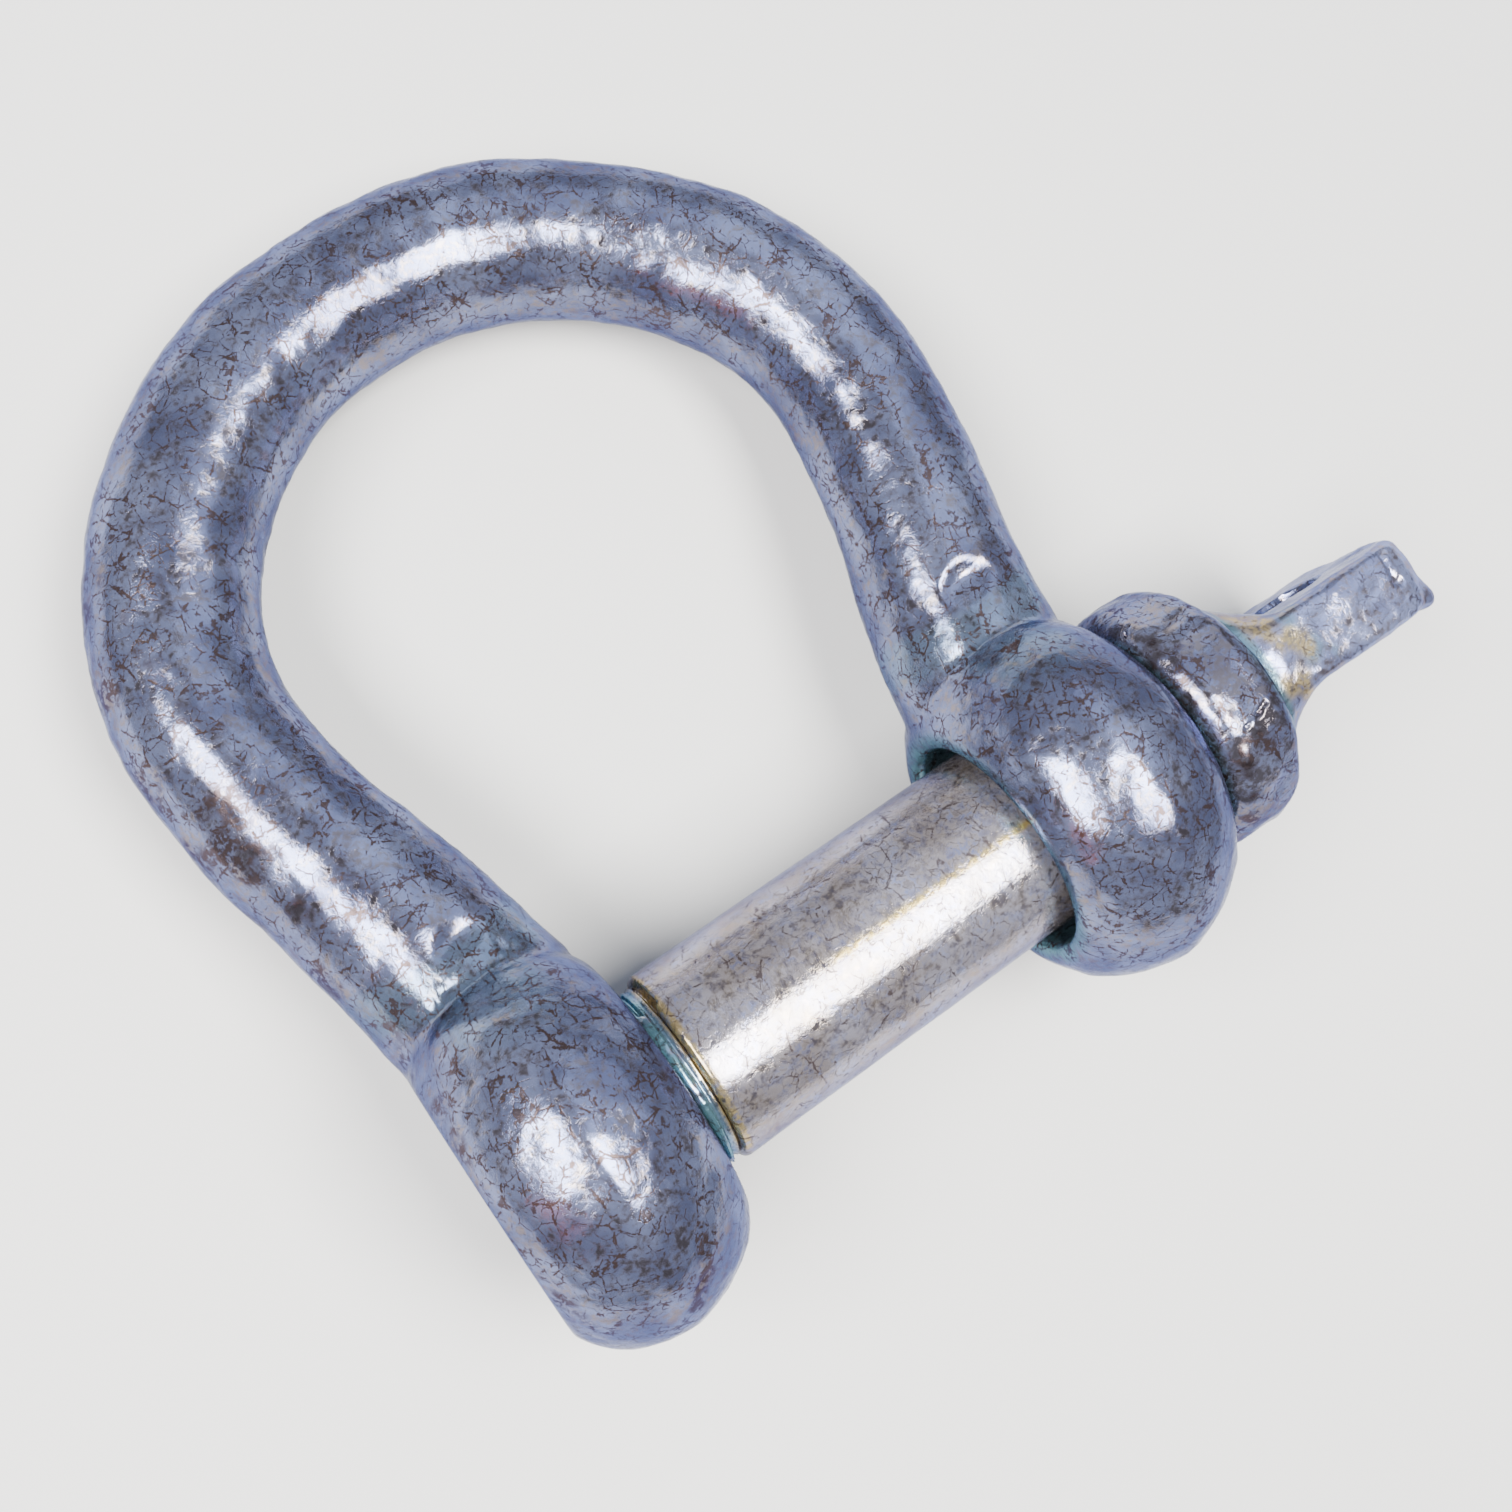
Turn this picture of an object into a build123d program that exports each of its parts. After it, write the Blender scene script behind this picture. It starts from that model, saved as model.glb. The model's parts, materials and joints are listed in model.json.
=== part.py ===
from build123d import *
import math
import os

# Screw-pin bow shackle, millimetres.
# The origin is the middle of the jaw on the pin's axis. +X runs along the pin towards its
# collar and tab, +Y towards the crown of the bow, +Z is square to the plane of the bow.

os.makedirs("parts", exist_ok=True)

# ---- pin and jaw ----
PIN_D = 12.0
JAW = 24.0
HOLE_CLEARANCE = 0.85  # radial, between the shank and the plain ear's hole

# ---- ears ----
EAR_WALL = 4.8  # from the plain hole out to the crown of the rim
EAR_LAND = 1.35  # flat face round the hole, each side
EAR_T = 11.4
RIM_MID_DROP = 0.95  # how far the rim has fallen at the knee, half way to the flat
RIM_KNEE = 0.6  # where the knee is, as a part of half the thickness
HOLE_EDGE_R = 0.6  # rounding at the mouths of the plain hole

# ---- bow ----
BAR_D = 9.7  # at the crown
LEG_INSET = 0.1  # how far a leg lies inside its ear's flats where it enters, each side
CROWN_R = 23.2  # to the middle of the bar
CROWN_Y = 26.0  # centre of the crown arc above the pin's axis
CROWN_HALF = 51.0  # degrees the arc runs to each side of the crown
BULGE_X = 22.05  # the widest point of the bar's middle line, each side
BULGE_Y = 29.9
WAIST_X = 19.9  # a point the leg passes through on its way down
WAIST_Y = 18.2
FOOT_Y = 8.0  # where the bar's middle line ends inside the ear
FOOT_LEAN = -0.2  # sideways travel of the bar per unit down, where it enters the ear

# ---- thread ----
PITCH = 1.75
THREAD_UNDER = 0.15  # how far the thread's crest lies inside the shank, radial
THREAD_CREST = PITCH / 8
THREAD_DEPTH = 0.54 * PITCH
THREAD_CLEARANCE = 0.15  # radial
THREAD_PLAY = 0.05  # along the axis, each flank
THREAD_FLANK = 30.0  # degrees, each flank
THREAD_LEAD = 1.3  # how far the ridge is run past each end before it is trimmed
THREAD_OVER = 0.1  # how far the pin's groove cutter stands out past the crest
RELIEF_L = 0.6  # undercut between thread and shoulder
RELIEF_DEPTH = 0.1  # how far the undercut goes below the thread's core
THREAD_EMBED = 0.1  # how far the tapped ridge starts inside the bore
SHOULDER_GAP = 1.4  # from the shank's shoulder to the threaded ear
TIP_RECESS = 0.3  # the pin's tip stops this far inside the ear's outer face
TIP_CHAMFER = 0.9
SHOULDER_CHAMFER = 0.25

# ---- collar ----
COLLAR_GAP = 0.45  # to the plain ear's outer face
COLLAR_RISE = 2.45  # how far the collar stands out from the shank
COLLAR_T = 5.8
COLLAR_EDGE_R = 1.7
COLLAR_FIT = 0.05  # running clearance to its seat, radial and at each side
SEAT_DEPTH = 0.5  # how deep the seat is turned into the pin

# ---- neck and tab ----
NECK_RISE = 0.3  # how far the neck's rim stands out from the shank
NECK_RIM = 0.5  # straight rim at the foot of the neck, which keeps the collar on
NECK_L = 3.9
TAB_W = 12.8
TAB_T = 5.0
TAB_TIP_X = 44.0
TAB_CORNER_R = 3.4
TAB_EDGE_R = 0.9
TAB_HOLE_D = 5.0
TAB_HOLE_BACK = 6.0  # from the tab's tip to the middle of its hole
TAB_TURN = 5.0  # degrees the tab stands off square to the bow's plane

# ---- drawing aids ----
MATCH = 0.01  # how closely an edge has to lie to be picked
CUT_PAST = 1.0  # how far a cutting body stands past what it cuts
THREAD_SHARE = 0.6  # the least part of a thread's cutting body that has to take material off

# ---- places that follow from the sizes ----
PIN_R = PIN_D / 2
HOLE_R = PIN_R + HOLE_CLEARANCE
EAR_IN = JAW / 2
EAR_MID = EAR_IN + EAR_T / 2
EAR_OUT = EAR_IN + EAR_T
EAR_R = HOLE_R + EAR_WALL
EAR_FACE_R = HOLE_R + EAR_LAND
LEG_D = EAR_T - 2 * LEG_INSET
KNEE_X = RIM_KNEE * EAR_T / 2
KNEE_R = EAR_R - RIM_MID_DROP
THREAD_R = PIN_R - THREAD_UNDER
CORE_R = THREAD_R - THREAD_DEPTH
TAP_R = CORE_R + THREAD_CLEARANCE
SHOULDER_X = SHOULDER_GAP - EAR_IN
RELIEF_X = SHOULDER_X - RELIEF_L
RELIEF_R = CORE_R - RELIEF_DEPTH
THREAD_DATUM_X = -EAR_OUT - THREAD_LEAD
THREAD_SLOPE = math.tan(math.radians(THREAD_FLANK))
TIP_X = TIP_RECESS - EAR_OUT
COLLAR_X0 = EAR_OUT + COLLAR_GAP
COLLAR_X1 = COLLAR_X0 + COLLAR_T
COLLAR_R = PIN_R + COLLAR_RISE
SEAT_R = PIN_R - SEAT_DEPTH
SEAT_X0 = COLLAR_X0 - COLLAR_FIT
SEAT_X1 = COLLAR_X1 + COLLAR_FIT
NECK_R = PIN_R + NECK_RISE
NECK_X = SEAT_X1 + NECK_RIM
TAB_X0 = NECK_X + NECK_L
TAB_TURN_RAD = math.radians(TAB_TURN)
TAB_HOLE_X = TAB_TIP_X - TAB_HOLE_BACK


def helical(profile, length):
    """Sweep a closed profile of (radius, along) points once round a right-hand helix about X.

    It starts at the thread's datum, so every body made here is in step with the others.
    """
    with BuildPart() as swept:
        with BuildLine() as path:
            Helix(pitch=PITCH, height=length, radius=CORE_R)
        with BuildSketch(Plane.XZ):
            with BuildLine():
                Polyline(*profile, close=True)
            make_face()
        sweep(path=path.wire(), is_frenet=True)
    return Pos(THREAD_DATUM_X, 0, 0) * Rot(0, 90, 0) * swept.part


def tapped_ridge():
    """What the tap takes out beyond its core: the pin's ridge grown by the thread clearance."""
    root_r = TAP_R - THREAD_EMBED
    crest_r = THREAD_R + THREAD_CLEARANCE
    crest_half = THREAD_CREST / 2 + THREAD_PLAY
    root_half = crest_half + (crest_r - root_r) * THREAD_SLOPE
    profile = (
        (root_r, -root_half),
        (crest_r, -crest_half),
        (crest_r, crest_half),
        (root_r, root_half),
    )
    return helical(profile, EAR_T + 2 * THREAD_LEAD)


def pin_groove():
    """What the die takes out of the pin: the space between two turns of its ridge."""
    crest_half = (PITCH - THREAD_CREST) / 2
    root_half = crest_half - THREAD_DEPTH * THREAD_SLOPE
    outer_half = crest_half + THREAD_OVER * THREAD_SLOPE
    middle = PITCH / 2
    profile = (
        (CORE_R, middle - root_half),
        (THREAD_R + THREAD_OVER, middle - outer_half),
        (THREAD_R + THREAD_OVER, middle + outer_half),
        (CORE_R, middle + root_half),
    )
    return helical(profile, RELIEF_X + RELIEF_L / 2 - THREAD_DATUM_X - middle)


def cut_thread(builder, cutter):
    """Subtract a helical body, and stop if it cut too little: at some sizes the cut is lost."""
    before = builder.part.volume
    add(cutter, mode=Mode.SUBTRACT)
    if before - builder.part.volume < THREAD_SHARE * cutter.volume:
        raise ValueError("a thread was not cut; change THREAD_LEAD a little")


def tab_blank(across):
    """The flat tab beyond the neck, with its corners and long edges rounded.

    across is the direction of its width.
    """
    start = Plane(origin=(TAB_X0, 0, 0), x_dir=(1, 0, 0), z_dir=Vector(1, 0, 0).cross(across))
    length = TAB_TIP_X - TAB_X0
    with BuildPart() as blank:
        with BuildSketch(start):
            with Locations((length / 2, 0)):
                outline = Rectangle(length, TAB_W)
            fillet(outline.vertices().sort_by(Axis.X)[-2:], radius=TAB_CORNER_R)
        extrude(amount=TAB_T / 2, both=True)
        rims = blank.edges().filter_by(lambda e: abs(e.length - TAB_T) > MATCH)
        long_rims = rims.filter_by(lambda e: e.bounding_box().max.X > TAB_X0 + MATCH)
        fillet(long_rims, radius=TAB_EDGE_R)
    return blank.part


def is_hole_mouth(edge):
    """True for the two rims of the plain hole."""
    box = edge.bounding_box()
    at_face = min(abs(box.min.X - EAR_IN), abs(box.min.X - EAR_OUT)) < MATCH
    return at_face and abs(box.max.Z - HOLE_R) < MATCH


# ---- the bow: one forging, a round bar that ends in two ears ----
with BuildPart() as bow:
    with BuildLine() as bar_path:
        crown = CenterArc((0, CROWN_Y), CROWN_R, 90 - CROWN_HALF, 2 * CROWN_HALF)
        right_leg = Spline(
            crown @ 0,
            (BULGE_X, BULGE_Y),
            (WAIST_X, WAIST_Y),
            (EAR_MID, FOOT_Y),
            tangents=(-(crown % 0), (FOOT_LEAN, -1)),
        )
        left_leg = Spline(
            crown @ 1,
            (-BULGE_X, BULGE_Y),
            (-WAIST_X, WAIST_Y),
            (-EAR_MID, FOOT_Y),
            tangents=(crown % 1, (-FOOT_LEAN, -1)),
        )
    bar_line = bar_path.wire()
    arc_start = right_leg.length / bar_line.length
    bar_sections = (
        (0, LEG_D),
        (arc_start, BAR_D),
        (0.5, BAR_D),
        (1 - arc_start, BAR_D),
        (1, LEG_D),
    )
    for place, diameter in bar_sections:
        square_to_bar = Plane(origin=bar_line @ place, x_dir=(0, 0, 1), z_dir=bar_line % place)
        with BuildSketch(square_to_bar):
            Circle(diameter / 2)
    sweep(path=bar_line, multisection=True)
    for side in (-1, 1):
        with BuildSketch(Plane.XY):
            with BuildLine():
                Line((side * EAR_OUT, 0), (side * EAR_OUT, -EAR_FACE_R))
                ThreePointArc(
                    (side * EAR_OUT, -EAR_FACE_R),
                    (side * (EAR_MID + KNEE_X), -KNEE_R),
                    (side * EAR_MID, -EAR_R),
                )
                ThreePointArc(
                    (side * EAR_MID, -EAR_R),
                    (side * (EAR_MID - KNEE_X), -KNEE_R),
                    (side * EAR_IN, -EAR_FACE_R),
                )
                Line((side * EAR_IN, -EAR_FACE_R), (side * EAR_IN, 0))
                Line((side * EAR_IN, 0), (side * EAR_OUT, 0))
            make_face()
        revolve(axis=Axis.X)
    # the plain hole, on the collar's side
    with Locations((EAR_MID, 0, 0)):
        Cylinder(HOLE_R, EAR_T + 2 * CUT_PAST, rotation=(0, 90, 0), mode=Mode.SUBTRACT)
    mouths = bow.edges().filter_by(is_hole_mouth)
    fillet(mouths, radius=HOLE_EDGE_R)
    # the threaded hole
    with Locations((-EAR_MID, 0, 0)):
        Cylinder(TAP_R, EAR_T + 2 * CUT_PAST, rotation=(0, 90, 0), mode=Mode.SUBTRACT)
    cut_thread(bow, tapped_ridge())
bow.part.label = "bow"

# ---- the pin: shank, thread, seat for the collar, neck and tab ----
with BuildPart() as screw_pin:
    with BuildSketch(Plane.XY):
        with BuildLine():
            Polyline(
                (TIP_X, 0),
                (TIP_X, THREAD_R - TIP_CHAMFER),
                (TIP_X + TIP_CHAMFER, THREAD_R),
                (RELIEF_X, THREAD_R),
                (RELIEF_X, RELIEF_R),
                (SHOULDER_X, RELIEF_R),
                (SHOULDER_X, PIN_R - SHOULDER_CHAMFER),
                (SHOULDER_X + SHOULDER_CHAMFER, PIN_R),
                (SEAT_X0, PIN_R),
                (SEAT_X0, SEAT_R),
                (SEAT_X1, SEAT_R),
                (SEAT_X1, NECK_R),
                (NECK_X, NECK_R),
                (NECK_X, 0),
                close=True,
            )
        make_face()
    revolve(axis=Axis.X)
    cut_thread(screw_pin, pin_groove())
    tab_plane = Plane(
        origin=(NECK_X, 0, 0),
        x_dir=(0, -math.sin(TAB_TURN_RAD), math.cos(TAB_TURN_RAD)),
        z_dir=(1, 0, 0),
    )
    with BuildSketch(tab_plane):
        Circle(NECK_R)
    with BuildSketch(tab_plane.offset(TAB_X0 - NECK_X)):
        RectangleRounded(TAB_W, TAB_T, TAB_EDGE_R)
    loft()
    add(tab_blank(tab_plane.x_dir))
    with Locations(Location(tab_plane.offset(TAB_HOLE_X - NECK_X))):
        Cylinder(TAB_HOLE_D / 2, TAB_T + 2 * CUT_PAST, rotation=(90, 0, 0), mode=Mode.SUBTRACT)
screw_pin.part.label = "screw_pin"

# ---- the collar: a ring on the pin's seat ----
with BuildPart() as pin_collar:
    with Locations(((COLLAR_X0 + COLLAR_X1) / 2, 0, 0)):
        Cylinder(COLLAR_R, COLLAR_T, rotation=(0, 90, 0))
        fillet(pin_collar.edges(), radius=COLLAR_EDGE_R)
        Cylinder(SEAT_R + COLLAR_FIT, COLLAR_T + 2 * CUT_PAST, rotation=(0, 90, 0), mode=Mode.SUBTRACT)
pin_collar.part.label = "pin_collar"

export_step(bow.part, "parts/bow.step")
export_step(screw_pin.part, "parts/screw_pin.step")
export_step(pin_collar.part, "parts/pin_collar.step")
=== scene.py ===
"""A weathered screw-pin bow shackle, lying on its side on a pale floor.

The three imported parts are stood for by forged-looking copies of themselves. Each copy is remeshed finely,
then given the unevenness, flats and cracks of a hot-forged and galvanised piece.
Lengths in this file are in millimetres, and MM turns them into the scene's metres.
The frame's origin is in the middle of the jaw, with X along the pin towards its tab and Y towards the crown.
"""

import json
import math

import bmesh
import bpy
import numpy as np
from mathutils import Matrix, Vector, noise


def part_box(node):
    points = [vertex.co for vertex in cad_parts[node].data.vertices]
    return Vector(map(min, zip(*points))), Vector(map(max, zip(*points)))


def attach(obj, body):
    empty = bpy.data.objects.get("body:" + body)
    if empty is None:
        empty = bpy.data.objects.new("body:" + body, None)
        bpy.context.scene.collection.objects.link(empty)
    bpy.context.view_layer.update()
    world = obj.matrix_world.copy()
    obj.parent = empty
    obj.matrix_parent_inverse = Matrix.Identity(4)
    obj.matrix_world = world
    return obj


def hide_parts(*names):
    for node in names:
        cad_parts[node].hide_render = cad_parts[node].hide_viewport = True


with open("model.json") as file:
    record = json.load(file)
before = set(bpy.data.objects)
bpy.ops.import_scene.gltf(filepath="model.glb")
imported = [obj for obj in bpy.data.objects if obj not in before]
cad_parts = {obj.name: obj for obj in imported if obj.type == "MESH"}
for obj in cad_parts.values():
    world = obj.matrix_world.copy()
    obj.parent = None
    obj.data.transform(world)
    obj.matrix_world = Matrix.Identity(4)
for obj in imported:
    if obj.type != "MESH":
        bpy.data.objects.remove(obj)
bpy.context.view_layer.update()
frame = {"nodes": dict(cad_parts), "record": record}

MM = 0.001

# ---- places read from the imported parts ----
BOW_LO, BOW_HI = (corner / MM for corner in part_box("bow"))
PIN_LO, PIN_HI = (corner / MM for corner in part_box("screw_pin"))
COLLAR_LO, COLLAR_HI = (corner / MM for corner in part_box("pin_collar"))
MOUNTS = {m["name"]: m for m in frame["record"]["mounts"]}
EAR_R = BOW_HI.z  # the ears are the thickest part of the bow
SHANK_R = MOUNTS["jaw_pin"]["dims"]["r_mm"]
CROWN_IN_Y = MOUNTS["crown"]["pos_m"][1] / MM
CROWN_BAR_R = (BOW_HI.y - CROWN_IN_Y) / 2
CROWN_Y = (BOW_HI.y + CROWN_IN_Y) / 2
EAR_TO_COLLAR = 9.05  # along the pin, from the middle of the plain ear to the middle of the collar
EAR_MID = (COLLAR_LO.x + COLLAR_HI.x) / 2 - EAR_TO_COLLAR
THREAD_FROM_X = 11.5  # the threads lie beyond this on the -X side, on the pin's tip and in its ear
THREAD_EASE = 0.06  # taken off both threads, so that the remeshed ones still turn freely


# ---- shape helpers ----
def coords(mesh):
    flat = np.empty(len(mesh.vertices) * 3, np.float32)
    mesh.vertices.foreach_get("co", flat)
    return flat.reshape(-1, 3).astype(float) / MM


def normals(mesh):
    flat = np.empty(len(mesh.vertices) * 3, np.float32)
    mesh.vertices.foreach_get("normal", flat)
    return flat.reshape(-1, 3).astype(float)


def set_coords(mesh, points, low, high):
    """Puts the points in place, none of them outside the CAD node's box."""
    kept = np.clip(points, np.array(low), np.array(high))
    mesh.vertices.foreach_set("co", (kept * MM).astype(np.float32).ravel())
    mesh.update()


def from_axis(points):
    """Distance from the pin's axis."""
    return np.hypot(points[:, 1], points[:, 2])


def moved_out(points, outward, heights):
    """Each point moved along its own normal, inwards where the height is negative."""
    return points + heights[:, None] * outward


def about_axis(points, scale):
    """Each point brought nearer to the pin's axis, or taken further from it, by its own scale."""
    return points * np.stack([np.ones(len(points)), scale, scale], axis=1)


def lumps(points, size, seed, octaves=2):
    """Smooth seeded noise in -1..1 at each point; size is the width of a lump."""
    shift = Vector((13.7 * seed, -7.1 * seed, 3.3 * seed))
    return np.array([
        noise.fractal(Vector(p) / size + shift, 0.6, 2.0, octaves, noise_basis="PERLIN_ORIGINAL")
        for p in points
    ])


def uneven(points, waves, sunk):
    """Adds up waves of (height, lump size, seed), then sinks the result by a little."""
    return sum(height * lumps(points, size, seed) for height, size, seed in waves) - sunk


def step(low, high, values):
    """0 below low, 1 above high, smooth between."""
    t = np.clip((values - low) / (high - low), 0, 1)
    return t * t * (3 - 2 * t)


def band(low, high, soft, values):
    """1 between low and high, falling to 0 over soft on each side."""
    return step(low - soft, low, values) * (1 - step(high, high + soft, values))


def remeshed(node, voxel, rounds):
    """A new piece with the node's shape in small even faces, its edges eased by the smoothing rounds."""
    mesh = frame["nodes"][node].data.copy()
    cleaner = bmesh.new()
    cleaner.from_mesh(mesh)
    bmesh.ops.remove_doubles(cleaner, verts=cleaner.verts, dist=1e-7)
    cleaner.to_mesh(mesh)
    cleaner.free()
    piece = bpy.data.objects.new(node + "_forged", mesh)
    bpy.context.scene.collection.objects.link(piece)
    voxels = piece.modifiers.new("voxels", "REMESH")
    voxels.mode = "VOXEL"
    voxels.voxel_size = voxel * MM
    ease = piece.modifiers.new("ease", "SMOOTH")
    ease.factor = 0.5
    ease.iterations = rounds
    graph = bpy.context.evaluated_depsgraph_get()
    piece.data = bpy.data.meshes.new_from_object(piece.evaluated_get(graph))
    piece.modifiers.clear()
    piece.data.materials.clear()
    piece.data.polygons.foreach_set("use_smooth", [True] * len(piece.data.polygons))
    return piece


def paint(mesh, name, values):
    """Keeps a mask on the mesh, which its material reads by name."""
    mask = mesh.attributes.new(name, "FLOAT", "POINT")
    mask.data.foreach_set("value", np.clip(values, 0, 1).astype(np.float32))


def near_line(points, start, end):
    """Distance from each point to a straight piece of line, and the share of the way along it."""
    a, d = np.array(start, float), np.array(end, float) - np.array(start, float)
    t = np.clip((points - a) @ d / (d @ d), 0, 1)
    return np.linalg.norm(points - a - t[:, None] * d, axis=1), t


def groove(points, start, end, width, depth, wander, seed):
    """The height, 0 or less, of a crooked crack that runs from start to end and thins out at both."""
    moved = points + wander * np.stack([lumps(points, 0.9, seed + k) for k in range(3)], axis=1)
    distance, t = near_line(moved, start, end)
    taper = np.sqrt(np.clip(4 * t * (1 - t), 0, 1))
    reach = np.clip(1 - distance / (width * (0.35 + 0.65 * taper)), 0, 1)
    return -depth * (0.4 + 0.6 * taper) * reach


def flattened(points, centre, facing, reach, sink):
    """Planes off what stands above a small flat, as a hammer or a die edge leaves it."""
    n = np.array(facing, float)
    n /= np.linalg.norm(n)
    c = np.array(centre, float) - sink * n
    above = (points - c) @ n
    away = np.linalg.norm(points - np.array(centre, float), axis=1)
    share = np.where(above > 0, 1 - step(reach * 0.6, reach, away), 0)
    return points - (share * above)[:, None] * n


# ---- the bow ----
BOW_WAVES = ((0.16, 9.0, 1), (0.075, 3.2, 2), (0.035, 1.1, 3))
BOW_SUNK = 0.05
HOLES_TO_R, FORGED_FROM_R = 7.8, 9.6  # the holes and their mouths keep their size inside the first
RIM_SHARE = 0.3  # how much of the rim's profile below is taken up
RIM_OFF_MIDDLE = (0, 0.5, 4.5, 5.2, 5.7)
RIM_FALL = (0.0, 0.14, 1.95, 2.65, 3.5)  # from a soft ridge, almost straight, then in short to the face
LEG_FROM_Y, LEG_FULL_Y = 6.0, 9.0  # the rim runs out into the leg between these
# centre, the way it faces, how far it reaches, how deep it lies
BOW_FLATS = (
    ((-17.1, 11.6, 5.3), (0.17, 0.42, 0.9), 2.3, 0.06),
    ((18.5, 12.9, 5.2), (-0.05, 0.36, 0.93), 2.4, 0.06),
    ((14.3, 12.6, 3.6), (-0.6, 0.25, 0.75), 2.2, 0.05),
)
EAR_CRACK = ((-15.4, -7.4, 8.6), (-17.4, -10.3, 5.6))
LEG_CREASE = ((-15.0, 10.9, 4.7), (-20.2, 10.6, 5.2))

bow = remeshed("bow", voxel=0.27, rounds=2)
p, n = coords(bow.data), normals(bow.data)
off_middle = np.abs(np.abs(p[:, 0]) - EAR_MID)
rim = EAR_R - np.interp(off_middle, RIM_OFF_MIDDLE, RIM_FALL)
below_leg = 1 - step(LEG_FROM_Y, LEG_FULL_Y, p[:, 1])
inwards = np.minimum(rim / np.maximum(from_axis(p), 1e-6), 1) - 1
p = about_axis(p, 1 + RIM_SHARE * below_leg * inwards)
radius = from_axis(p)
free = step(HOLES_TO_R, FORGED_FROM_R, radius)
p = moved_out(p, n, free * uneven(p, BOW_WAVES, BOW_SUNK))
for flat in BOW_FLATS:
    p = flattened(p, *flat)
crack = groove(p, *LEG_CREASE, width=0.45, depth=0.35, wander=0.5, seed=11)
crack += groove(p, *EAR_CRACK, width=0.3, depth=0.1, wander=0.6, seed=14)
p = moved_out(p, n, free * crack)
threaded = (1 - step(7.2, HOLES_TO_R, radius)) * (p[:, 0] < -THREAD_FROM_X)
p = moved_out(p, n, -THREAD_EASE * threaded)
set_coords(bow.data, p, BOW_LO, BOW_HI)

# ---- the pin ----
HEAD_WAVES = ((0.13, 4.5, 5), (0.05, 1.5, 6))
HEAD_SUNK = 0.04
SHANK_WAVES = ((0.02, 5.0, 7),)
SHANK_SUNK = 0.012
SHANK_FROM_X, SHANK_TO_X = -10.0, 22.8
NECK_FROM_X, NECK_FULL_X = 30.3, 31.5  # the head's unevenness sets in between these
TAB_CREASE = ((41.35, 1.9, 6.4), (40.75, -3.0, 6.0))
BURR_AT, BURR_PULL, BURR_HEIGHT = (43.3, -2.3, 4.6), (0.35, -0.85, 0.4), 0.45
RELIEF_FROM_X, RELIEF_TO_X = -11.45, -10.65  # between the thread and the shoulder
RELIEF_CORE_R = 3.5  # nothing nearer to the axis belongs to the relief's surface

pin = remeshed("screw_pin", voxel=0.19, rounds=1)
p, n = coords(pin.data), normals(pin.data)
head = step(NECK_FROM_X, NECK_FULL_X, p[:, 0])
shank = band(SHANK_FROM_X, SHANK_TO_X, 0.4, p[:, 0])
p = moved_out(p, n, head * uneven(p, HEAD_WAVES, HEAD_SUNK))
p = moved_out(p, n, shank * uneven(p, SHANK_WAVES, SHANK_SUNK))
p = moved_out(p, n, head * groove(p, *TAB_CREASE, width=0.4, depth=0.35, wander=0.45, seed=17))
from_burr = np.linalg.norm(p - np.array(BURR_AT), axis=1)
p = moved_out(p, np.array(BURR_PULL), BURR_HEIGHT * (1 - step(0.3, 1.5, from_burr)))
# zinc and dirt fill the relief, in rings
radius = from_axis(p)
filled = band(RELIEF_FROM_X, RELIEF_TO_X, 0.08, p[:, 0])
filled = filled * (radius > RELIEF_CORE_R) * (radius < SHANK_R - 0.5)
fill_r = SHANK_R - 0.55 + 0.09 * np.cos(p[:, 0] * 14.0) + 0.05 * lumps(p, 1.2, 18)
p = about_axis(p, 1 + filled * (fill_r / np.maximum(radius, 1e-6) - 1))
threaded = 1 - step(-THREAD_FROM_X - 0.6, -THREAD_FROM_X, p[:, 0])
p = moved_out(p, n, -THREAD_EASE * threaded * (1 - filled))
set_coords(pin.data, p, PIN_LO, PIN_HI)

# ---- the collar ----
COLLAR_WAVES = ((0.24, 5.5, 8), (0.08, 1.8, 9))
COLLAR_SUNK = 0.1
COLLAR_CRACK = ((25.5, -2.25, 8.2), (28.3, -1.8, 8.1))
COLLAR_NICK = ((23.9, 5.9, 5.2), (25.3, 6.4, 5.6))

collar = remeshed("pin_collar", voxel=0.13, rounds=3)
p, n = coords(collar.data), normals(collar.data)
outer = step(SHANK_R + 0.6, SHANK_R + 1.5, from_axis(p))
p = moved_out(p, n, outer * uneven(p, COLLAR_WAVES, COLLAR_SUNK))
crack = groove(p, *COLLAR_CRACK, width=0.2, depth=0.5, wander=0.25, seed=21)
crack += groove(p, *COLLAR_NICK, width=0.22, depth=0.5, wander=0.3, seed=24)
p = moved_out(p, n, outer * crack)
set_coords(collar.data, p, COLLAR_LO, COLLAR_HI)

# ---- colour masks, painted on the finished shapes; the pin's gold line is a painted reflection ----
p = coords(bow.data)
radius = from_axis(p)
side = np.abs(p[:, 0])
in_hole = (1 - step(7.2, 8.6, radius)) * (1 - 0.75 * step(21.8, 22.8, side))  # faint on the outer faces
seam = band(11.3, 13.2, 0.8, radius) * step(5.0, 9.0, p[:, 1])  # where the ears meet the legs
seam = seam * (1 - step(0.0, 1.0, np.abs(side - EAR_MID) - 5.0) * 0.4)
paint(bow.data, "teal", np.maximum(0.9 * in_hole, 0.2 * seam))
distance, _ = near_line(p, *EAR_CRACK)
stain = 1 - step(0.1, 0.9, distance + 0.35 * lumps(p, 1.4, 31, 3))
# dark brown, in random patches, along the outer rim and outer face of the threaded ear
edge = step(21.6, 23.0, -p[:, 0]) * step(7.5, 9.0, radius) * step(-0.1, 0.5, lumps(p, 3.0, 32, 3))
paint(bow.data, "brown", np.maximum(0.8 * stain, 0.5 * edge))
paint(bow.data, "gold_tint_and_painted_reflection", np.zeros(len(p)))

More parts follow.
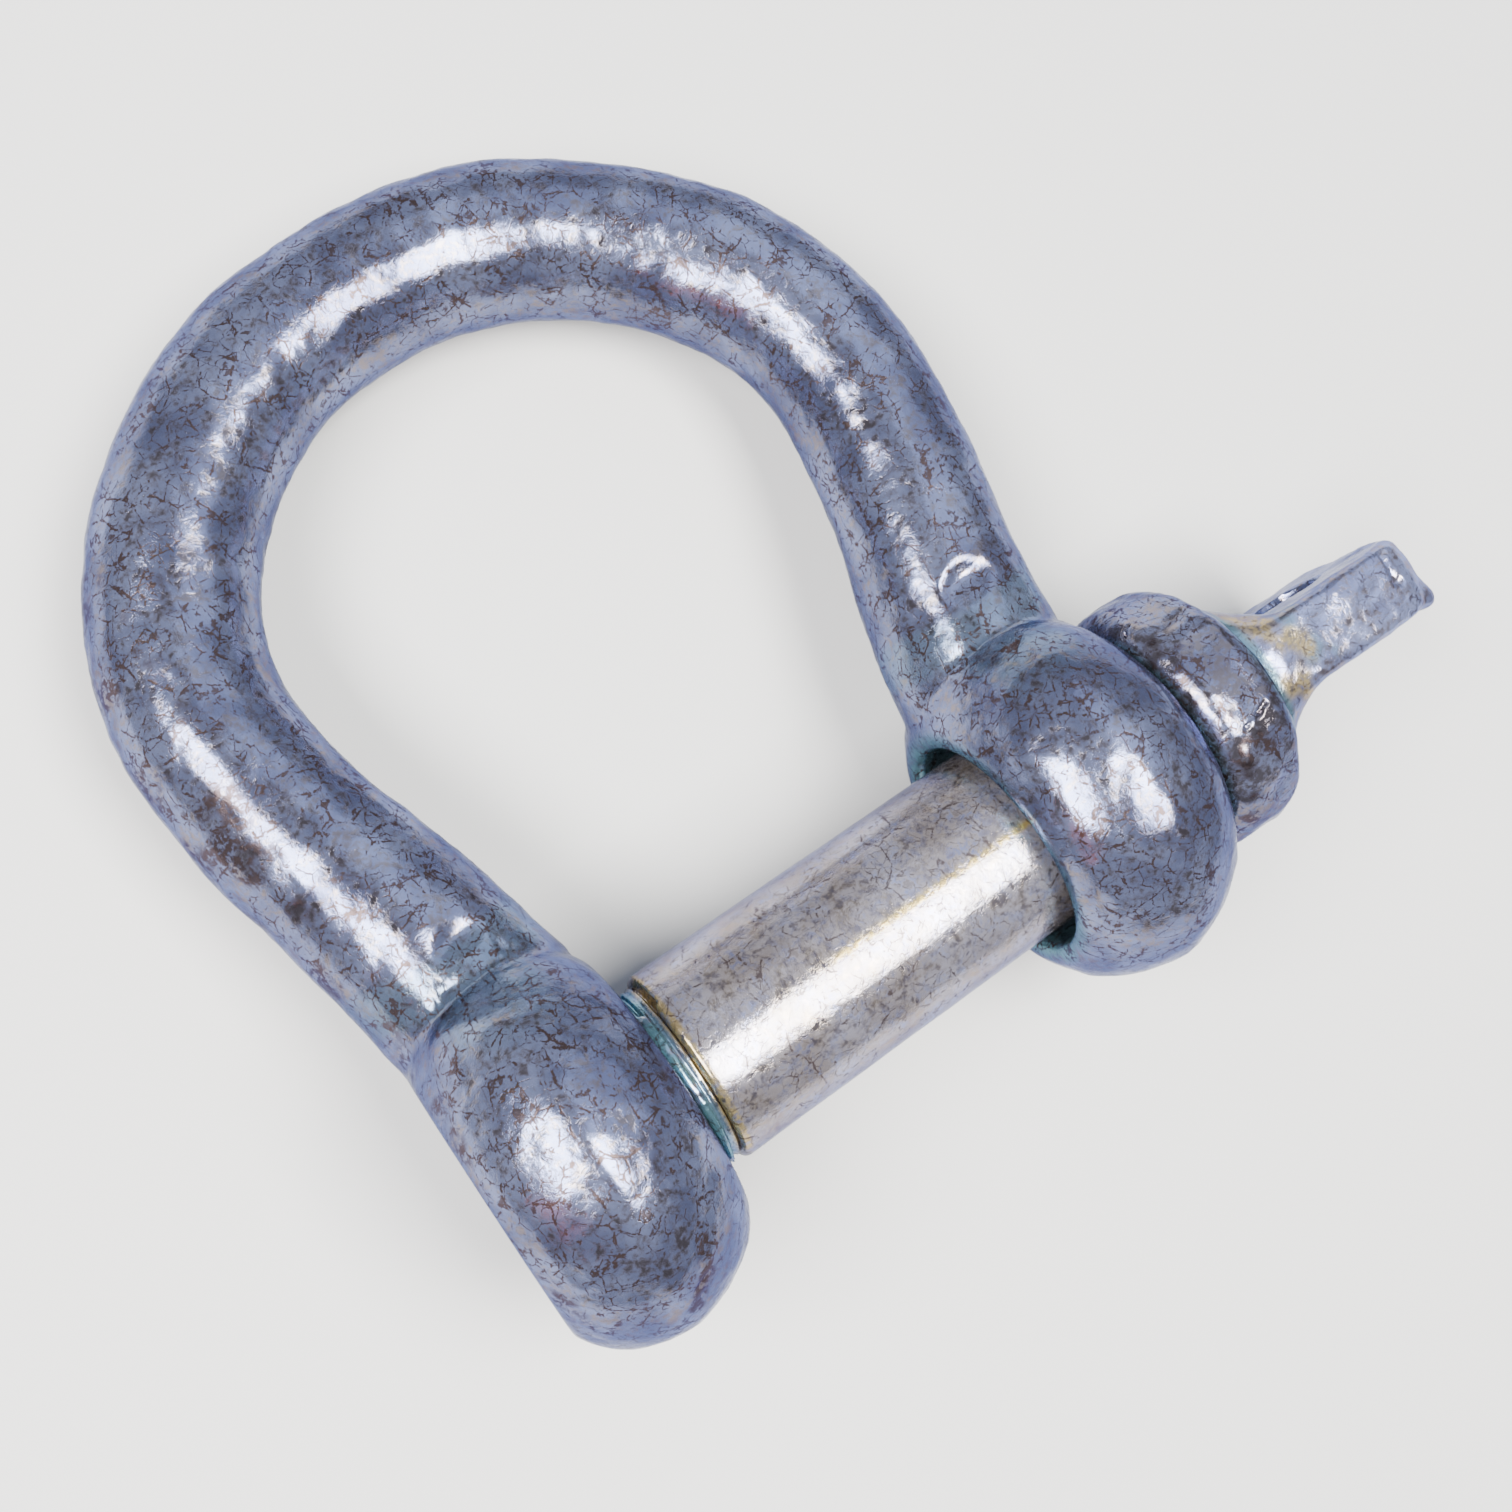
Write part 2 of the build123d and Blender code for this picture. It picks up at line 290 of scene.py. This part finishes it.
p = coords(pin.data)
x = p[:, 0]
at_shoulder = (1 - step(-11.4, -10.3, x)) * (1 - 0.55 * (1 - step(-13.2, -12.2, x)))  # weaker on the thread
behind_collar = 0.75 * band(29.4, 30.5, 0.4, x)
on_neck = 0.5 * band(33.2, 34.6, 0.8, x) * step(-0.1, 0.4, lumps(p, 2.5, 33))
paint(pin.data, "teal", np.maximum(at_shoulder, behind_collar + on_neck))
gold_ring = 0.9 * band(-10.7, -10.1, 0.2, x)
gold_neck = 0.85 * band(30.9, 33.6, 0.6, x) * step(-0.25, 0.3, lumps(p, 2.2, 34))
angle = np.degrees(np.arctan2(p[:, 2], p[:, 1]))
# painted reflection: a gold line along the top of the shank, at the upper edge of the shank's highlight
# streak
painted_reflection_line = 0.75 * band(85.0, 87.0, 2.0, angle) * band(0.0, 12.0, 2.5, x)
gold_shank = 0.4 * band(SHANK_FROM_X, 23.0, 1.0, x)
paint(pin.data, "gold_tint_and_painted_reflection", np.maximum(np.maximum(gold_ring, gold_neck), painted_reflection_line + gold_shank))
paint(pin.data, "brown", 0.15 * step(0.1, 0.6, lumps(p, 4.0, 35, 3)))

p = coords(collar.data)
both_ends = np.maximum(step(28.6, 29.5, p[:, 0]), 1 - step(23.8, 24.3, p[:, 0]))
paint(collar.data, "teal", 0.7 * both_ends)
paint(collar.data, "gold_tint_and_painted_reflection", np.zeros(len(p)))
paint(collar.data, "brown", 0.5 * step(0.0, 0.6, lumps(p, 3.0, 36, 3)))


# ---- material ----
class Nodes:
    """Small helpers over one material's node tree."""

    def __init__(self, name):
        self.material = bpy.data.materials.new(name)
        self.material.use_nodes = True
        self.tree = self.material.node_tree
        self.tree.nodes.clear()

    def add(self, kind, **settings):
        node = self.tree.nodes.new(kind)
        for key, value in settings.items():
            setattr(node, key, value)
        return node

    def put(self, socket, value):
        if isinstance(value, bpy.types.NodeSocket):
            self.tree.links.new(value, socket)
        else:
            socket.default_value = value

    def math(self, operation, a, b=None, clamp=False):
        node = self.add("ShaderNodeMath", operation=operation, use_clamp=clamp)
        self.put(node.inputs[0], a)
        if b is not None:
            self.put(node.inputs[1], b)
        return node.outputs[0]

    def ramp(self, value, low, high):
        """0 below low, 1 above high, smooth between."""
        node = self.add("ShaderNodeMapRange", interpolation_type="SMOOTHSTEP")
        self.put(node.inputs["Value"], value)
        node.inputs["From Min"].default_value = low
        node.inputs["From Max"].default_value = high
        return node.outputs["Result"]

    def noise_node(self, where, scale, detail, rough, twist):
        node = self.add("ShaderNodeTexNoise")
        self.put(node.inputs["Vector"], where)
        node.inputs["Scale"].default_value = scale
        node.inputs["Detail"].default_value = detail
        node.inputs["Roughness"].default_value = rough
        node.inputs["Distortion"].default_value = twist
        return node

    def noise(self, where, scale, detail, rough, twist):
        return self.noise_node(where, scale, detail, rough, twist).outputs["Fac"]

    def bent(self, where, scale, reach):
        """The same coordinates, each moved by noise times reach, so that straight lines come out crooked."""
        shift = self.add("ShaderNodeVectorMath", operation="MULTIPLY_ADD")
        push = self.noise_node(where, scale, detail=5.0, rough=0.65, twist=0.0)
        self.put(shift.inputs[0], push.outputs["Color"])
        shift.inputs[1].default_value = (reach, reach, reach)
        self.put(shift.inputs[2], where)
        return shift.outputs[0]

    def cracks(self, where, scale, thin, wide):
        """1 on the borders of a crazed surface's cells, 0 away from them."""
        cells = self.add("ShaderNodeTexVoronoi", feature="DISTANCE_TO_EDGE")
        self.put(cells.inputs["Vector"], where)
        cells.inputs["Scale"].default_value = scale
        return self.math("SUBTRACT", 1.0, self.ramp(cells.outputs["Distance"], thin, wide))

    def mask(self, name):
        return self.add("ShaderNodeAttribute", attribute_name=name).outputs["Fac"]

    def blend(self, share, a, b):
        """Mixes two colours."""
        node = self.add("ShaderNodeMix", data_type="RGBA")
        self.put(node.inputs[0], share)
        self.put(node.inputs[6], a)
        self.put(node.inputs[7], b)
        return node.outputs[2]

    def mix(self, share, a, b):
        """Mixes two numbers."""
        node = self.add("ShaderNodeMix", data_type="FLOAT")
        self.put(node.inputs[0], share)
        self.put(node.inputs[2], a)
        self.put(node.inputs[3], b)
        return node.outputs[0]


# the dark and the light end of each tone
ZINC = ((0.135, 0.115, 0.125), (0.22, 0.195, 0.21))
FILM = ((0.085, 0.096, 0.172), (0.165, 0.190, 0.315))
TEAL = (0.12, 0.24, 0.28, 1)
# GOLD_TINT_AND_REFLECTION is a yellow tint, and on the pin also the colour of a painted reflection
GOLD_TINT_AND_REFLECTION = (0.42, 0.32, 0.13, 1)
BROWN = (0.052, 0.037, 0.037, 1)
EDGE_TINT = (0.30, 0.33, 0.52, 1)  # what the metal mirrors at a glance comes back darker and bluer
CLEAR_IOR = 1.35


def weathered_zinc(name, shift, film_share, bright, crazing):
    """Galvanised steel gone dull: bare zinc, a lavender film on most of it, a broken net of brown cracks."""
    k = Nodes(name)
    moved = k.add("ShaderNodeMapping")
    k.put(moved.inputs["Vector"], k.add("ShaderNodeTexCoord").outputs["Object"])
    moved.inputs["Location"].default_value = shift
    moved.inputs["Scale"].default_value = (1 / MM,) * 3
    here = moved.outputs["Vector"]

    tone = k.ramp(k.noise(here, scale=0.22, detail=5.0, rough=0.6, twist=0.4), 0.34, 0.66)
    patches = k.noise(here, scale=0.6, detail=9.0, rough=0.66, twist=0.5)
    fine = k.noise(here, scale=2.2, detail=6.0, rough=0.62, twist=0.4)
    swell = k.noise(here, scale=0.8, detail=2.0, rough=0.5, twist=0.2)

    crooked = k.bent(here, scale=1.1, reach=0.55)
    wide_net = k.math("MULTIPLY", k.cracks(crooked, scale=0.5, thin=0.008, wide=0.040), 0.95)
    fine_net = k.math("MULTIPLY", k.cracks(crooked, scale=1.1, thin=0.010, wide=0.055), 0.8)
    broken = k.math("MULTIPLY", k.ramp(patches, 0.42, 0.54), k.ramp(fine, 0.40, 0.54))
    net = k.math("MULTIPLY", k.math("MAXIMUM", wide_net, fine_net), broken)
    specks = k.math("MULTIPLY", k.ramp(fine, 0.50, 0.56), k.ramp(patches, 0.53, 0.60))
    dirt = k.math("MULTIPLY", k.math("MAXIMUM", net, k.math("MULTIPLY", specks, 0.5)), crazing)

    mottle = k.math("ADD", k.math("MULTIPLY", patches, 0.5), k.math("MULTIPLY", fine, 0.5))
    film = k.ramp(mottle, 0.42 - film_share, 0.55 - film_share)
    brown = k.math("MAXIMUM", dirt, k.math("MULTIPLY", k.mask("brown"), k.ramp(fine, 0.38, 0.55)))
    teal = k.math("MULTIPLY", k.mask("teal"), k.ramp(patches, 0.30, 0.52))
    # a yellow tint, and on the pin also a painted reflection line along the shank
    gold_tint_and_painted_reflection = k.math("MULTIPLY", k.mask("gold_tint_and_painted_reflection"), k.ramp(fine, 0.30, 0.56))

    def toned(dark, light):
        return k.blend(tone, *([part * bright for part in shade] + [1] for shade in (dark, light)))

    colour = k.blend(film, toned(*ZINC), toned(*FILM))
    colour = k.blend(teal, colour, TEAL)
    colour = k.blend(gold_tint_and_painted_reflection, colour, GOLD_TINT_AND_REFLECTION)
    colour = k.blend(k.ramp(brown, 0.0, 0.55), colour, BROWN)

    roughness = k.mix(brown, k.mix(film, 0.12, 0.17), 0.26)
    uneven_gloss = k.math("MULTIPLY", k.math("SUBTRACT", fine, 0.5), 0.22)

    # heights in millimetres
    height = k.math("ADD", k.math("MULTIPLY", swell, 0.03), k.math("MULTIPLY", fine, 0.015))
    height = k.math("ADD", height, k.math("MULTIPLY", film, 0.003))
    height = k.math("SUBTRACT", height, k.math("MULTIPLY", brown, 0.005))
    bump = k.add("ShaderNodeBump")
    bump.inputs["Strength"].default_value = 1.0
    bump.inputs["Distance"].default_value = MM
    k.put(bump.inputs["Height"], height)

    shader = k.add("ShaderNodeBsdfPrincipled")
    k.put(shader.inputs["Base Color"], colour)
    k.put(shader.inputs["Metallic"], k.mix(film, 0.95, 0.78))
    k.put(shader.inputs["Roughness"], k.math("ADD", roughness, uneven_gloss, clamp=True))
    k.put(shader.inputs["Normal"], bump.outputs["Normal"])
    shader.inputs["Specular Tint"].default_value = EDGE_TINT
    shader.inputs["IOR"].default_value = CLEAR_IOR
    out = k.add("ShaderNodeOutputMaterial")
    k.put(out.inputs["Surface"], shader.outputs[0])
    return k.material


zinc_bow = weathered_zinc("zinc_bow", (3.1, 0.7, 1.9), film_share=0.04, bright=0.90, crazing=0.9)
zinc_pin = weathered_zinc("zinc_pin", (11.3, 5.2, 0.4), film_share=0.03, bright=1.65, crazing=0.45)
zinc_collar = weathered_zinc("zinc_collar", (6.4, 9.8, 2.2), film_share=0.0, bright=0.95, crazing=0.9)
for piece, node, body, slot, material in (
    (bow, "bow", "bow_body", "bow_zinc", zinc_bow),
    (pin, "screw_pin", "pin_body", "pin_zinc", zinc_pin),
    (collar, "pin_collar", "collar_body", "collar_zinc", zinc_collar),
):
    piece.data.materials.append(material)
    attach(piece, body)
    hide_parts(node)

# ---- floor, tilted so that both ears and the crown rest on it ----
FLOOR_HALF = 900
FLOOR_WHITE = (0.52, 0.52, 0.52, 1)
FLOOR_ROUGHNESS = 0.9
REST_GAP = 0.05
tilt = math.asin((EAR_R - CROWN_BAR_R) / CROWN_Y)
up = Vector((0, -math.sin(tilt), math.cos(tilt)))
corners = [(x * FLOOR_HALF * MM, y * FLOOR_HALF * MM, 0) for x, y in ((-1, -1), (1, -1), (1, 1), (-1, 1))]
floor_mesh = bpy.data.meshes.new("floor")
floor_mesh.from_pydata(corners, [], [(0, 1, 2, 3)])
floor_paint = bpy.data.materials.new("floor_white")
floor_paint.use_nodes = True
floor_shader = floor_paint.node_tree.nodes["Principled BSDF"]
floor_shader.inputs["Base Color"].default_value = FLOOR_WHITE
floor_shader.inputs["Roughness"].default_value = FLOOR_ROUGHNESS
floor_mesh.materials.append(floor_paint)
floor = bpy.data.objects.new("floor", floor_mesh)
floor.matrix_world = Matrix.Translation(up * -(EAR_R + REST_GAP) * MM) @ Matrix.Rotation(tilt, 4, "X")
bpy.context.scene.collection.objects.link(floor)

# ---- light ----
MIDDLE = Vector((4.0, 18.0, 0.0))
LAMP_AWAY = 320
SKY_COLOUR, SKY_STRENGTH = (0.66, 0.74, 1.0, 1), 0.36


def softbox(name, towards, wide, high, power, colour):
    """A rectangular lamp that shines on the middle of the shackle from that direction, its height along Y."""
    data = bpy.data.lights.new(name, "AREA")
    data.shape = "RECTANGLE"
    data.size, data.size_y = wide * MM, high * MM
    data.energy = power
    data.color = colour
    lamp = bpy.data.objects.new(name, data)
    back = Vector(towards).normalized()
    upward = (Vector((0, 1, 0)) - back.y * back).normalized()
    facing = Matrix((upward.cross(back), upward, back)).transposed().to_4x4()
    lamp.matrix_world = Matrix.Translation((MIDDLE + back * LAMP_AWAY) * MM) @ facing
    bpy.context.scene.collection.objects.link(lamp)


softbox("key_right", (0.20, -0.34, 0.92), wide=120, high=190, power=3.5, colour=(1.0, 0.98, 0.92))
softbox("key_left", (-0.57, 0.0, 0.82), wide=115, high=240, power=3.7, colour=(1.0, 0.985, 0.95))
softbox("fill", (0.5, 0.2, 0.75), wide=240, high=300, power=0.35, colour=(0.72, 0.82, 1.0))
softbox("low_red", (-0.79, -0.38, 0.48), wide=110, high=120, power=0.07, colour=(1.0, 0.16, 0.13))

world = bpy.data.worlds.new("studio")
world.use_nodes = True
sky = world.node_tree.nodes["Background"]
sky.inputs["Color"].default_value = SKY_COLOUR
sky.inputs["Strength"].default_value = SKY_STRENGTH
bpy.context.scene.world = world

# ---- camera, where the photographer's stood ----
PITCH, YAW, ROLL = -0.0831, 0.2677, 0.6038
CAMERA_AT = Vector((-4.4625, 11.9856, 95.121))  # in the camera's own axes, from the frame's origin
FOCAL_PER_WIDTH = 1.08727
SENSOR_WIDTH = 36
NEAREST_SEEN = 5
turn = Matrix.Rotation(ROLL, 3, "Z") @ Matrix.Rotation(PITCH, 3, "X") @ Matrix.Rotation(YAW, 3, "Y")
away = turn.transposed()
camera_data = bpy.data.cameras.new("camera")
camera_data.sensor_width = SENSOR_WIDTH
camera_data.lens = SENSOR_WIDTH * FOCAL_PER_WIDTH
camera_data.clip_start = NEAREST_SEEN * MM
camera_data.dof.use_dof = False
camera = bpy.data.objects.new("camera", camera_data)
camera.matrix_world = Matrix.Translation((away @ CAMERA_AT) * MM) @ away.to_4x4()
bpy.context.scene.collection.objects.link(camera)
bpy.context.scene.camera = camera
